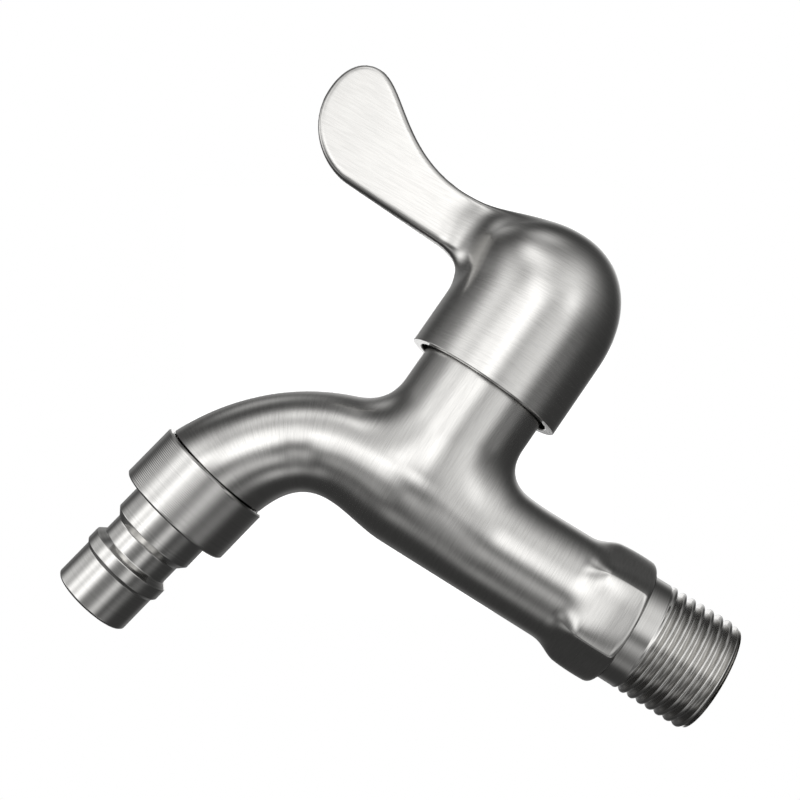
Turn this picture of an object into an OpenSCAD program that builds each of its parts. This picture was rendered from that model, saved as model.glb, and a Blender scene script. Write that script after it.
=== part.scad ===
// Quarter-turn bib tap in cast stainless steel: a wall inlet with a G1/2 male thread, a leaning
// neck with a ceramic cartridge under a lever cap, and a curved spout with a screwed hose nipple.
// Millimetres. Origin on the inlet's axis where its thread begins next to the plain shoulder, +X out
// along the inlet to the wall, +Z up, the spout towards -X. The plane Y = 0 halves the castings.

/* [Inlet] */
// Diameter over the crests of the inlet thread
inlet_thread_d = 20.955; // [20.8:0.005:21.1]
// Length of the inlet thread
inlet_thread_len = 13; // [11:0.5:15]
// Length of the plain shoulder between the thread and the hexagon
inlet_shoulder_len = 4.4; // [3:0.2:6]
// Diameter of the plain shoulder
inlet_shoulder_d = 20.6; // [20:0.1:20.6]
// Diameter of the inlet waterway
inlet_bore_d = 14.5; // [12:0.5:15.5]

/* [Threads] */
// Pitch of the pipe thread, 14 turns to the inch
thread_pitch = 1.814; // [1.7:0.002:1.9]
// Depth of the pipe thread
thread_depth = 1.16; // [1:0.02:1.2]
// Width of the flat on each crest
thread_crest_w = 0.3; // [0.2:0.02:0.4]

/* [Body] */
// Distance from the start of the inlet's thread to the neck's axis
inlet_to_neck = 49.4; // [45:0.2:55]
// Outside diameter of the barrel
barrel_d = 20.7; // [20:0.1:21.5]
// Distance across the flats of the hexagon
hex_af = 22; // [21.6:0.1:23]
// Diameter to which the hexagon's corners are turned
hex_corner_d = 25; // [24:0.1:25.4]
// Length of the hexagon's flats
hex_len = 7.6; // [6:0.2:9]
// Length over which the barrel swells into the hexagon
hex_blend_len = 5.6; // [4:0.2:7]
// Height of the body's top line under the neck
hump_h = 12.8; // [12:0.1:13.5]
// Length over which the barrel rises to the neck
hump_len = 24; // [20:0.5:26]
// Length over which the barrel widens to the neck
bulge_len = 18; // [15:0.5:20]

/* [Neck] */
// Angle by which the neck leans towards the wall
neck_lean = 3; // [0:0.5:4]
// Outside diameter of the neck
neck_d = 25.2; // [24.6:0.1:25.8]
// Height of the neck's top face above the inlet's axis
neck_top = 27.5; // [26:0.25:30]
// Radius of the fillet between the neck and the barrel
neck_fillet = 5; // [4:0.25:6]

/* [Spout] */
// Distance from the neck's axis to the centre of the spout's end
spout_reach = 32.4; // [30:0.2:36]
// Drop from the inlet's axis to the centre of the spout's end
spout_drop = 15.6; // [13:0.2:18]
// Angle of the outlet from straight down
outlet_tilt = 12.3; // [6:0.3:16]
// Angle from straight down at which the spout runs into its end
spout_lean = 22.2; // [18:0.3:26]
// Angle by which each side of the spout opens at its end
spout_flare = 3.4; // [1:0.2:5]
// Diameter of the spout's end
spout_end_d = 21.4; // [21:0.1:21.8]
// Width of the spout at the middle of its bend
spout_mid_w = 18.8; // [18:0.1:20]
// Diameter of the spout's waterway
spout_bore_d = 11.6; // [10:0.2:12.5]

/* [Outlet nut and nipple] */
// Outside diameter of the spout nut
nut_d = 23.2; // [22.8:0.1:25]
// Length of the spout nut
nut_len = 11; // [10:0.25:13]
// Thickness of the nut's inner lip
nut_lip_t = 2.2; // [1.6:0.1:3]
// Diameter of the nipple's first section and of its rib
nipple_d = 16.7; // [16:0.1:17]
// Diameter of the nipple's waist
nipple_waist_d = 14.3; // [13.6:0.1:15]
// Diameter of the nipple's end section
nipple_end_d = 15.55; // [15.2:0.05:16]
// Length of the first section below the nut
nipple_first_len = 5.3; // [4.5:0.1:6.5]
// Length of the waist between its two cones
nipple_waist_len = 3.4; // [2.5:0.1:4.5]
// Length of the rib
nipple_rib_len = 2.2; // [1.6:0.1:3]
// Length of the end section
nipple_end_len = 7.5; // [6:0.25:9]
// Diameter of the nipple's waterway
nipple_bore_d = 11; // [9.5:0.25:12]
// Thickness of the nozzle washer
nozzle_washer_t = 1.5; // [1:0.1:2.2]

/* [Handle cap] */
// Outside diameter of the cap
cap_d = 31; // [30.4:0.1:32]
// Height of the cap's rim above the inlet's axis
cap_rim = 23.4; // [22.6:0.1:24.5]
// Height at which the dome begins
dome_base = 38; // [36:0.25:40]
// Height of the dome's top
dome_top = 57; // [55:0.25:59]
// Squareness of the dome's curve, 2 for an ellipse
dome_power = 2.2; // [2:0.05:2.6]
// Wall of the cap
cap_wall = 1.8; // [1.5:0.05:2]
// Diameter of the boss that holds the spindle
cap_boss_d = 13.6; // [12:0.2:15]

/* [Lever] */
// Distance from the neck's axis to the lever's tip, measured at the tip's height
lever_reach = 56.6; // [50:0.2:62]
// Height of the lever's crest
lever_crest_h = 65.5; // [62:0.25:68]
// Height of the middle of the lever's round tip
lever_tip_h = 57; // [54:0.25:60]
// Height of the lever's lower edge at the tip
lever_low_tip_h = 43.4; // [42:0.2:46]
// Height of the lever's lower edge at the cap
lever_low_root_h = 42; // [41:0.2:44]
// Height of the lever's upper edge at its narrowest
lever_waist_h = 52.9; // [51:0.2:54]
// Thickness of the lever near its tip
lever_tip_t = 2.6; // [2:0.1:3.6]
// Thickness of the lever at the cap
lever_root_t = 4.6; // [4:0.1:6]
// Radius of the fillets between the lever and the cap
lever_fillet = 4; // [3:0.1:5]
// Rounding of the lever's edges
lever_edge = 1; // [0.6:0.05:1.1]

/* [Set screw] */
// Diameter of the set screw
set_screw_d = 4; // [3:0.5:5]
// Depth of the set screw's end inside the cap's side
set_screw_recess = 2.5; // [2:0.1:4]
// Height of the set screw above the inlet's axis
set_screw_h = 45.2; // [44.8:0.1:46]

/* [Cartridge] */
// Height of the valve seat above the inlet's axis
seat_h = 1.5; // [1:0.1:2]
// Diameter of the hole in the valve seat
seat_hole_d = 9.6; // [8.5:0.1:10]
// Diameter of the housing's nose
nose_d = 17.6; // [17.2:0.1:18]
// Diameter of the ceramic discs
disc_d = 14.8; // [14.4:0.05:15]
// Thickness of each ceramic disc
disc_t = 3.4; // [3:0.1:3.6]
// Height of the rubber seat seal
seat_seal_h = 4.4; // [4:0.1:4.8]
// Thickness of the spindle's drive flange
drive_t = 2.8; // [2.4:0.1:3.2]
// Thickness of the thrust washer
thrust_t = 0.6; // [0.4:0.05:0.9]
// Diameter of the spindle's shaft
spindle_d = 9.2; // [8.6:0.1:9.4]
// Distance across the flats of the housing's hexagon
housing_af = 22; // [21:0.25:23]
// Height of the housing's hexagon
housing_hex_h = 5; // [4:0.25:5.5]
// Thickness of the gasket under the hexagon
gasket_t = 0.9; // [0.6:0.05:1.2]
// Diameter of the gland above the hexagon
gland_d = 14; // [13:0.25:15]
// Height of the gland above the hexagon
gland_h = 4.8; // [4:0.1:5.2]
// Thickness of the spindle's clip
clip_t = 0.8; // [0.6:0.05:1]
// Diameter over the teeth of the spindle's spline
spline_d = 7.9; // [7.6:0.05:8.1]
// Length of the spline
spline_len = 9; // [8:0.25:10]
// Number of teeth of the spline
spline_teeth = 20; // [16:2:24]
// Thickness of the spindle's round seals
seal_cord_d = 1.5; // [1.3:0.05:1.6]

/* [Clearances] */
// Radial play of a turning fit
running_play = 0.05; // [0.03:0.01:0.08]
// Play between pieces that are screwed or laid together
loose_play = 0.1; // [0.08:0.01:0.15]
// Gap seen between the spout and its nut
nut_gap = 0.35; // [0.2:0.05:0.5]

/* [Hidden] */

$fn = 64;
steel = [0.72, 0.715, 0.70];
turned_steel = [0.78, 0.775, 0.76];
brass = [0.80, 0.64, 0.33];
rubber = [0.08, 0.08, 0.08];
ceramic = [0.93, 0.92, 0.88];
plastic = [0.90, 0.90, 0.87];
// Length by which a cut runs past the face it opens
over = 0.5;

barrel_r = barrel_d / 2;
neck_r = neck_d / 2;
neck_x = -inlet_to_neck;
hump_x = neck_x + hump_len;
bulge_x = neck_x + bulge_len;
hex_face_x = -inlet_shoulder_len;
hex_back_x = hex_face_x - hex_len;
blend_x = hex_back_x - hex_blend_len;

// The spout's end: its centre, the direction out of it and the direction across it
outlet_centre = [neck_x - spout_reach, -spout_drop];
outlet_across = [-cos(outlet_tilt), sin(outlet_tilt)];
spout_end_r = spout_end_d / 2;

// Upper and lower edges of the spout, as Bezier curves in the plane Y = 0
spout_top_end = outlet_centre + spout_end_r * outlet_across;
spout_low_end = outlet_centre - spout_end_r * outlet_across;
spout_top_pull = [20, 18.1];
spout_low_pull = [8.4, 14.2];
top_lean = spout_lean + spout_flare;
low_lean = spout_lean - spout_flare;
spout_top = [
  [neck_x, hump_h],
  [neck_x - spout_top_pull[0], hump_h],
  spout_top_end + spout_top_pull[1] * [sin(top_lean), cos(top_lean)],
  spout_top_end
];
spout_low = [
  [neck_x, -barrel_r],
  [neck_x - spout_low_pull[0], -barrel_r],
  spout_low_end + spout_low_pull[1] * [sin(low_lean), cos(low_lean)],
  spout_low_end
];
spout_mid = (spout_top + spout_low) / 2;
spout_narrow_by = 0.55;
spout_widen_from = 0.5;

// Stations and sides of the cast skins
barrel_rings = 12;
spout_rings = 20;
skin_sides = 40;
neck_sides = 48;
fillet_steps = 6;
// Depth to which the neck's fillet runs into the body, so that the two skins cross cleanly
fillet_bury = 0.15;

// Waterways inside the body
chamber_d = nose_d + 1;
channel_h = 6;
channel_w = 10;
floor_wall = 2.2;
channel_floor = -barrel_r + floor_wall;
bridge_len = 8;
inlet_bore_end = neck_x + chamber_d / 2 + bridge_len;
bend_r = 21;
bend_turn = 90 - outlet_tilt;
bend_h = outlet_centre[1] + bend_r * tan(bend_turn / 2) * cos(outlet_tilt);
bend_x = outlet_centre[0] + bend_r * tan(bend_turn / 2) * (1 + sin(outlet_tilt));
// Where the spout's waterway starts in the chamber, how much narrower it is there, and the widening
// at its bend's ends
port = [neck_x - 4, 7];
port_r = spout_bore_d / 2 - 0.6;
boss_bore_r = spout_bore_d / 2 + 0.3;

// Neck thread and cartridge, heights above the inlet's axis along the neck
neck_thread_len = 8;
pipe_crest_r = inlet_thread_d / 2;
pipe_root_r = pipe_crest_r - thread_depth;
housing_hex_base = neck_top + gasket_t;
gland_base = housing_hex_base + housing_hex_h;
gland_top = gland_base + gland_h;
fixed_disc_base = seat_h + seat_seal_h;
moving_disc_base = fixed_disc_base + disc_t + running_play;
drive_base = moving_disc_base + disc_t;
drive_top = drive_base + drive_t;
shoulder_h = drive_top + running_play + thrust_t;
disc_r = disc_d / 2;
disc_bore_r = disc_r + loose_play;
nose_gap = 1.2;
nose_low = seat_h + nose_gap;
shaft_r = spindle_d / 2;
shaft_bore_r = shaft_r + running_play;
clip_base = gland_top + running_play;
clip_top = clip_base + clip_t;
// Groove of the clip and how far the clip stands out of it, and the plain shaft above it
clip_groove_depth = 0.8;
clip_stand = 1.4;
clip_opening = 3.6;
clip_play = 0.03;
shaft_relief = 0.8;
spline_base = clip_top + shaft_relief;
spline_top = spline_base + spline_len;
groove_depth = seal_cord_d - 0.25;
seal_pitch = 4.5;
lower_seal_h = shoulder_h + 3;
upper_seal_h = lower_seal_h + seal_pitch;
seal_touch = 0.02;
seal_w = groove_depth + running_play - 2 * seal_touch;
tongue_w = 2.6;
tongue_h = 1.6;
tongue_inset = 1.2;
// Angle of the stop, of the handle's travel and of the play at each end, and the stop's depth
stop_angle = 40;
quarter_turn = 90;
stop_play = 1;
stop_depth = 1.4;
// Angle by which each port of the discs stops short of the quarter, and the hub they leave
port_land = 4;
hub_r = 1.6;
// Wall of the seat seal outside its ring
seal_ring_t = 0.7;

// Handle
cap_r = cap_d / 2;
cavity_r = cap_r - cap_wall;
boss_r = cap_boss_d / 2;
boss_gap = 0.6;
boss_low = spline_base + boss_gap;
socket_play = 0.5;
socket_top = spline_top + socket_play;
cavity_top = socket_top - 1.2;
dome_steps = 18;
set_screw_wall = 1.5;
set_screw_tip = spline_d / 2 + running_play;
set_screw_len = cap_r - set_screw_recess - set_screw_tip;

// Lever, in the plane Y = 0: its tip, its crest, its low corner and the place where it meets the cap
lever_tip_x = neck_x - lever_reach + lever_tip_h * tan(neck_lean);
lever_crest_run = 6.4;
lever_crest_x = lever_tip_x + lever_crest_run;
lever_low_run = 12.2;
lever_low_x = lever_tip_x + lever_low_run;
lever_root_step = 0.9;
// Share of the fillet's swell by which the lever also thickens sideways
lever_spread = 1.05;
lever_root_x =
  neck_x + lever_low_root_h * tan(neck_lean) - cap_r - lever_fillet - lever_root_step;
// Run of the lever's upper edge from there into the dome, and where its ridge ends
lever_up_run = 8.5;
ridge_x = neck_x + dome_top * tan(neck_lean) - 3;
lever_up_tip = [
  [lever_tip_x, lever_tip_h], [lever_tip_x, lever_tip_h + 5], [lever_crest_x - 4.2, lever_crest_h],
  [lever_crest_x, lever_crest_h]
];
lever_up_blade = [
  [lever_crest_x, lever_crest_h], [lever_crest_x + lever_crest_run, lever_crest_h],
  [lever_root_x - 16.2, lever_waist_h - 0.7], [lever_root_x, lever_waist_h]
];
lever_low_tip = [
  [lever_tip_x, lever_tip_h], [lever_tip_x, lever_tip_h - 7.4],
  [lever_low_x - 6, lever_low_tip_h + 0.6], [lever_low_x, lever_low_tip_h]
];
lever_low_blade = [
  for (i = [0 : 3]) mix([lever_low_x, lever_low_tip_h], [lever_root_x, lever_low_root_h], i / 3)
];
tip_steps = 10;
blade_steps = 14;
root_steps = 8;
edge_steps = 4;

// Outlet pieces, lengths down from the nut's top face
spout_boss_len = 6;
washer_low = spout_boss_len + nozzle_washer_t;
flange_low = nut_len - nut_lip_t;
nut_chamfer = 0.35;
nipple_cone_len = 1.4;
rib_cone_len = 1.05;
end_cone_len = 0.7;
nipple_r = nipple_d / 2;
waist_r = nipple_waist_d / 2;
nipple_end_r = nipple_end_d / 2;
flange_r = pipe_root_r - loose_play;

function mix(a, b, s) = a + (b - a) * s;
function clamp(s) = max(0, min(1, s));
function ease(s) = let (c = clamp(s)) c * c * (3 - 2 * c);
function bezier(p, t) =
  let (s = 1 - t)
  s * s * s * p[0] + 3 * s * s * t * p[1] + 3 * s * t * t * p[2] + t * t * t * p[3];
// Place on a curve that runs towards -X where it reaches x
function bezier_at_x(p, x, low = 0, high = 1, turns = 20) =
  turns == 0 ? (low + high) / 2
  : let (m = (low + high) / 2)
    bezier(p, m)[0] > x ? bezier_at_x(p, x, m, high, turns - 1)
    : bezier_at_x(p, x, low, m, turns - 1);

// Half the spout's width at a place t along it: narrower from the neck on, wider towards its end
function spout_half_w(t) =
  spout_mid_w / 2 + (neck_r - spout_mid_w / 2) * (1 - ease(t / spout_narrow_by))
  + (spout_end_r - spout_mid_w / 2) * ease((t - spout_widen_from) / (1 - spout_widen_from));

// The cast body without its neck: top, bottom and half width of the section at x
function body_top(x) =
  x < neck_x ? bezier(spout_top, bezier_at_x(spout_top, x))[1]
  : mix(barrel_r, hump_h, ease((hump_x - x) / hump_len));
function body_low(x) =
  x < neck_x ? bezier(spout_low, bezier_at_x(spout_low, x))[1] : -barrel_r;
function body_half_w(x) =
  x < neck_x ? spout_half_w(bezier_at_x(spout_mid, x))
  : mix(barrel_r, neck_r, ease((bulge_x - x) / bulge_len));

// Skin through rings of equal count, closed at both ends by fans to a point. Seen from the first
// ring's end, each ring turns clockwise.
module skin(rings, first, last) {
  n = len(rings[0]);
  m = len(rings);
  points = concat([for (r = rings) each r], [first, last]);
  faces = concat(
    [for (i = [0 : m - 2]) for (j = [0 : n - 1]) [i * n + j, (i + 1) * n + j, i * n + (j + 1) % n]],
    [for (i = [0 : m - 2]) for (j = [0 : n - 1])
      [(i + 1) * n + j, (i + 1) * n + (j + 1) % n, i * n + (j + 1) % n]],
    [for (j = [0 : n - 1]) [m * n, j, (j + 1) % n]],
    [for (j = [0 : n - 1]) [m * n + 1, (m - 1) * n + (j + 1) % n, (m - 1) * n + j]]
  );
  polyhedron(points, faces, convexity = 6);
}

// Frames of the neck, the inlet and the outlet: local +Z runs up the neck, to the wall, and down
// the nipple
module at_neck(h = 0) translate([neck_x, 0, 0]) rotate([0, neck_lean, 0]) translate([0, 0, h])
  children();
module at_inlet(x = 0) translate([x, 0, 0]) rotate([0, 90, 0]) children();
module at_outlet(h = 0) translate([outlet_centre[0], 0, outlet_centre[1]])
  rotate([0, 180 + outlet_tilt, 0]) translate([0, 0, h]) children();

module tube(outer_r, inner_r, low, high) translate([0, 0, low])
  difference() {
    cylinder(r = outer_r, h = high - low);
    translate([0, 0, -over]) cylinder(r = inner_r, h = high - low + 2 * over);
  }

// Rod with a ridge for each turn of thread, from z = 0 to len
module threaded_rod(crest_r, length) {
  root_r = crest_r - thread_depth;
  flank = (thread_pitch - 2 * thread_crest_w) / 2;
  turns = floor((length - thread_crest_w) / thread_pitch);
  start = (length - turns * thread_pitch - thread_crest_w) / 2;
  rotate_extrude() polygon(concat(
    [[0, 0], [root_r, 0]],
    [for (i = [0 : turns]) let (z = start + i * thread_pitch) each [
      if (i > 0) [root_r, z - flank],
      [crest_r, z],
      [crest_r, z + thread_crest_w],
      if (i < turns) [root_r, z + thread_crest_w + flank]
    ]],
    [[root_r, length], [0, length]]
  ));
}

// Sector of a disc, for ports and stops, from z = 0 to h
module sector(r, angle, h, inner_r = 0) rotate_extrude(angle = angle)
  translate([inner_r, 0]) square([r - inner_r, h]);

// The barrel and spout as one cast tube between its upper and lower edges
function body_ring(top, low, half_w) = [
  for (j = [0 : skin_sides - 1])
    let (a = 360 * j / skin_sides, mid = (top + low) / 2, half = (top - low) / 2)
    [mid[0] + half[0] * sin(a), -half_w * cos(a), mid[1] + half[1] * sin(a)]
];
module barrel_and_spout() {
  start_x = hex_back_x - 1.5;
  barrel_x = [for (i = [0 : barrel_rings - 1]) mix(start_x, neck_x, i / barrel_rings)];
  barrel = [for (x = barrel_x) body_ring([x, body_top(x)], [x, body_low(x)], body_half_w(x))];
  spout = [for (i = [0 : spout_rings]) let (t = i / spout_rings)
    body_ring(bezier(spout_top, t), bezier(spout_low, t), spout_half_w(t))];
  skin(concat(barrel, spout), [start_x, 0, 0], [outlet_centre[0], 0, outlet_centre[1]]);
}

// The neck with its fillet, made by a ball that rolls round the neck against the body
function neck_mid(x) = (body_top(x) + body_low(x)) / 2;
function ball_centre(psi, z) = [
  neck_x + z * tan(neck_lean) + (neck_r + neck_fillet) * cos(psi),
  (neck_r + neck_fillet) * sin(psi),
  z
];
// How often the half sizes of the section fit into the way from its middle to p
function body_reach(p) = norm([
  p[1] / (body_half_w(p[0]) - fillet_bury),
  (p[2] - neck_mid(p[0])) / ((body_top(p[0]) - body_low(p[0])) / 2 - fillet_bury)
]);
function body_gap(p) = norm([p[1], p[2] - neck_mid(p[0])]) * (1 - 1 / body_reach(p));
function ball_height(psi, low, high, turns = 16) =
  turns == 0 ? (low + high) / 2
  : let (m = (low + high) / 2)
    body_gap(ball_centre(psi, m)) < neck_fillet ? ball_height(psi, m, high, turns - 1)
    : ball_height(psi, low, m, turns - 1);
function fillet_arc(psi) =
  let (
    z = ball_height(psi, 0, neck_top),
    centre = ball_centre(psi, z),
    reach = body_reach(centre),
    mid = [centre[0], 0, neck_mid(centre[0])],
    foot = mid + (centre - mid) / reach,
    wall = centre - neck_fillet * [cos(psi), sin(psi), 0],
    a = wall - centre,
    b = foot - centre,
    turn = acos(clamp((a * b) / (norm(a) * norm(b))))
  )
  [for (i = [0 : fillet_steps]) let (s = i / fillet_steps)
    turn < 1 ? mix(wall, foot, s)
    : centre + (sin((1 - s) * turn) * a + sin(s * turn) * b) / sin(turn)];
module neck_and_fillet() {
  chamfer = 0.6;
  lean_x = [cos(neck_lean), 0, -sin(neck_lean)];
  lean_z = [sin(neck_lean), 0, cos(neck_lean)];
  foot_of_axis = [neck_x, 0, 0];
  sides = [for (j = [0 : neck_sides - 1]) -360 * j / neck_sides];
  arcs = [for (psi = sides) fillet_arc(psi)];
  top = [for (cut = [[chamfer, 0], [0, chamfer]]) [for (psi = sides)
    foot_of_axis + (neck_top - cut[1]) * lean_z
    + (neck_r - cut[0]) * (cos(psi) * lean_x + [0, sin(psi), 0])]];
  fillet = [for (i = [0 : fillet_steps]) [for (j = [0 : neck_sides - 1]) arcs[j][i]]];
  rings = concat(top, fillet);
  skin(rings, foot_of_axis + neck_top * lean_z, foot_of_axis - [0, 0, barrel_r / 3]);
}

// Inlet end: thread, plain shoulder and the hexagon that the barrel swells into
module inlet_end() {
  chamfer = 1.2;
  at_inlet() intersection() {
    threaded_rod(pipe_crest_r, inlet_thread_len);
    union() {
      cylinder(r = pipe_crest_r + over, h = inlet_thread_len - chamfer);
      translate([0, 0, inlet_thread_len - chamfer])
        cylinder(r1 = pipe_crest_r + 0.2, r2 = pipe_crest_r + 0.2 - chamfer, h = chamfer);
    }
  }
  at_inlet(hex_face_x) cylinder(d = inlet_shoulder_d, h = inlet_shoulder_len + over);
  at_inlet() intersection() {
    translate([0, 0, blend_x - 1])
      linear_extrude(hex_face_x - blend_x + 1) circle(d = hex_af / cos(30), $fn = 6);
    rotate_extrude() hexagon_profile();
  }
}
// Half section of the hexagon's turned form, axis along Y
module hexagon_profile() {
  corner_r = hex_corner_d / 2;
  face_r = inlet_shoulder_d / 2 + 0.2;
  face_chamfer = corner_r - face_r;
  blend_steps = 8;
  polygon(concat(
    [[0, blend_x - 0.6], [barrel_r - 0.4, blend_x - 0.6]],
    [for (i = [0 : blend_steps]) let (s = i / blend_steps)
      [mix(barrel_r - 0.1, corner_r, ease(s)), mix(blend_x, hex_back_x, s)]],
    [[corner_r, hex_face_x - face_chamfer * 0.6], [face_r, hex_face_x], [0, hex_face_x]]
  ));
}

// Boss on the spout's end, with the thread for the nut
module spout_boss() {
  at_outlet(-1) cylinder(r = pipe_root_r, h = 1 + nut_gap * 2);
  at_outlet() threaded_rod(pipe_crest_r - loose_play, spout_boss_len);
}

// Waterways: the inlet bore and the channel under the seat, the valve chamber, the way to the spout
module waterways() {
  at_inlet(inlet_bore_end)
    cylinder(d = inlet_bore_d, h = inlet_thread_len - inlet_bore_end + over);
  channel_end = neck_x - seat_hole_d / 2;
  translate([channel_end, 0, channel_floor + channel_h / 2]) rotate([90, 0, 90])
    linear_extrude(inlet_bore_end + over - channel_end) stadium(channel_w, channel_h);
  at_neck(channel_floor + channel_h / 2)
    cylinder(d = seat_hole_d, h = seat_h - channel_floor - channel_h / 2 + over);
  at_neck(seat_h) cylinder(d = chamber_d, h = neck_top - neck_thread_len - seat_h + over);
  at_neck(neck_top - neck_thread_len) {
    threaded_rod(pipe_crest_r + running_play, neck_thread_len + 0.01);
    translate([0, 0, neck_thread_len - 0.8])
      cylinder(r1 = pipe_root_r, r2 = pipe_crest_r + 0.3, h = 0.81);
  }
  spout_way();
}
// The spout's waterway: a port from the chamber, then a bend down to the outlet
module spout_way() {
  way = [bend_x - 1, bend_h] - port;
  translate([port[0], 0, port[1]]) rotate([0, atan2(way[0], way[1]), 0])
    cylinder(r = port_r, h = norm(way));
  translate([bend_x, 0, bend_h]) sphere(r = boss_bore_r);
  translate([bend_x, 0, bend_h - bend_r]) rotate([90, 0, 0])
    rotate_extrude(start = 90, angle = bend_turn) translate([bend_r, 0]) circle(d = spout_bore_d);
  at_outlet(-1) cylinder(r = boss_bore_r, h = spout_boss_len + 1 + over);
}
module stadium(w, h) {
  square([w - h, h], center = true);
  for (side = [-1, 1]) translate([side * (w - h) / 2, 0]) circle(d = h);
}

module tap_body() color(steel) difference() {
  union() {
    difference() {
      union() {
        barrel_and_spout();
        neck_and_fillet();
      }
      at_outlet(-nut_gap) cylinder(r = spout_end_r + 3, h = 4);
    }
    inlet_end();
    spout_boss();
  }
  waterways();
}

// Nut that screws on the spout's boss and clamps the nipple's flange against the washer
module spout_nut() color(turned_steel) at_outlet() difference() {
  nut_r = nut_d / 2;
  rotate_extrude() polygon([
    [0, 0], [nut_r - nut_chamfer, 0], [nut_r, nut_chamfer], [nut_r, nut_len - nut_chamfer],
    [nut_r - nut_chamfer, nut_len], [0, nut_len]
  ]);
  threaded_rod(pipe_crest_r, spout_boss_len);
  translate([0, 0, -0.01]) cylinder(r1 = pipe_crest_r + 0.2, r2 = pipe_root_r, h = 0.6);
  translate([0, 0, spout_boss_len - 0.01])
    cylinder(r = pipe_crest_r, h = flange_low - spout_boss_len + 0.01);
  cylinder(r = nipple_r + loose_play, h = nut_len + over);
}

module nozzle_washer() color(rubber) at_outlet()
  tube(flange_r, boss_bore_r, spout_boss_len, washer_low);

// Quick-connect nipple, turned in one piece: flange, first section, waist, rib and end
module hose_nipple() color(turned_steel) at_outlet() {
  first_end = nut_len + nipple_first_len;
  waist_low = first_end + nipple_cone_len + nipple_waist_len;
  rib_top = waist_low + rib_cone_len;
  rib_low = rib_top + nipple_rib_len;
  end_top = rib_low + end_cone_len;
  end_low = end_top + nipple_end_len;
  chamfer = 0.35;
  difference() {
    rotate_extrude() polygon([
      [0, washer_low], [flange_r, washer_low], [flange_r, flange_low],
      [nipple_r, flange_low], [nipple_r, first_end],
      [waist_r, first_end + nipple_cone_len], [waist_r, waist_low],
      [nipple_r, rib_top], [nipple_r, rib_low],
      [nipple_end_r, end_top], [nipple_end_r, end_low - chamfer],
      [nipple_end_r - chamfer, end_low], [0, end_low]
    ]);
    translate([0, 0, washer_low - over]) cylinder(d = nipple_bore_d, h = end_low);
  }
}

// Cartridge housing: nose with two windows, pipe thread, hexagon and gland
module cartridge_housing() color(brass) at_neck() difference() {
  union() {
    translate([0, 0, nose_low])
      cylinder(d = nose_d, h = neck_top - neck_thread_len - nose_low + 1);
    translate([0, 0, neck_top - neck_thread_len + loose_play])
      threaded_rod(pipe_crest_r - running_play, neck_thread_len - loose_play);
    translate([0, 0, neck_top - over]) cylinder(r = pipe_root_r, h = gasket_t + 2 * over);
    intersection() {
      translate([0, 0, housing_hex_base])
        linear_extrude(housing_hex_h) circle(d = housing_af / cos(30), $fn = 6);
      rotate_extrude() chamfered_disc(housing_af / 2 + 1.3, housing_hex_base, gland_base, 0.8);
    }
    translate([0, 0, gland_base - over]) cylinder(d = gland_d, h = gland_h + over);
  }
  translate([0, 0, nose_low - over]) cylinder(r = disc_bore_r, h = shoulder_h - nose_low + over);
  translate([0, 0, shoulder_h - over]) cylinder(r = shaft_bore_r, h = gland_top);
  for (side = [0, 180]) rotate(side + quarter_turn / 2)
    translate([0, 0, moving_disc_base]) sector(nose_d, quarter_turn, disc_t - 0.2);
}
// Half section of a disc with both rims chamfered
module chamfered_disc(r, low, high, chamfer) polygon([
  [0, low], [r - chamfer, low], [r, low + chamfer], [r, high - chamfer], [r - chamfer, high],
  [0, high]
]);

// Stop inside the housing, which the spindle's flange turns against
module housing_stop() color(brass) at_neck(drive_base + running_play) rotate(-stop_angle / 2)
  sector(disc_bore_r + 0.2, stop_angle, drive_t - running_play, disc_r - stop_depth);

module housing_gasket() color(rubber) at_neck()
  tube(neck_r - 0.9, pipe_crest_r, neck_top, housing_hex_base);

// Rubber seal between the seat and the fixed disc, held in shape by a ring inside it
module seat_seal() color(rubber) at_neck()
  tube(disc_r, seat_hole_d / 2 + seal_ring_t, seat_h, fixed_disc_base);
module seal_ring() color(plastic) at_neck()
  tube(seat_hole_d / 2 + seal_ring_t - running_play, seat_hole_d / 2, seat_h + 0.4,
    fixed_disc_base - 0.2);

// Fixed disc with two opposite ports
module fixed_disc() color(ceramic) at_neck(fixed_disc_base) difference() {
  cylinder(r = disc_r, h = disc_t);
  for (side = [0, 180]) rotate(side + quarter_turn / 2 + port_land)
    translate([0, 0, -over])
      sector(seat_hole_d / 2, quarter_turn - 2 * port_land, disc_t + 2 * over, hub_r);
}

// Moving disc: two opposite notches let the water out sideways, a groove takes the spindle's tongue
module moving_disc() color(ceramic) at_neck(moving_disc_base) difference() {
  cylinder(r = disc_r - running_play, h = disc_t);
  for (side = [0, 180]) rotate(side - quarter_turn / 2 + port_land)
    translate([0, 0, -over])
      sector(disc_r + 1, quarter_turn - 2 * port_land, disc_t + 2 * over, hub_r);
  tongue(loose_play, over);
}
// Tongue of the spindle that drives the moving disc, across the disc's two lands
module tongue(play = 0, extra = 0)
  translate([-tongue_w / 2 - play, -disc_r + tongue_inset - play, disc_t - tongue_h - play])
    cube([tongue_w + 2 * play, 2 * (disc_r - tongue_inset + play), tongue_h + play + extra]);

module thrust_washer() color(plastic) at_neck()
  tube(disc_r - 0.1, shaft_bore_r, shoulder_h - thrust_t, shoulder_h);

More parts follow.
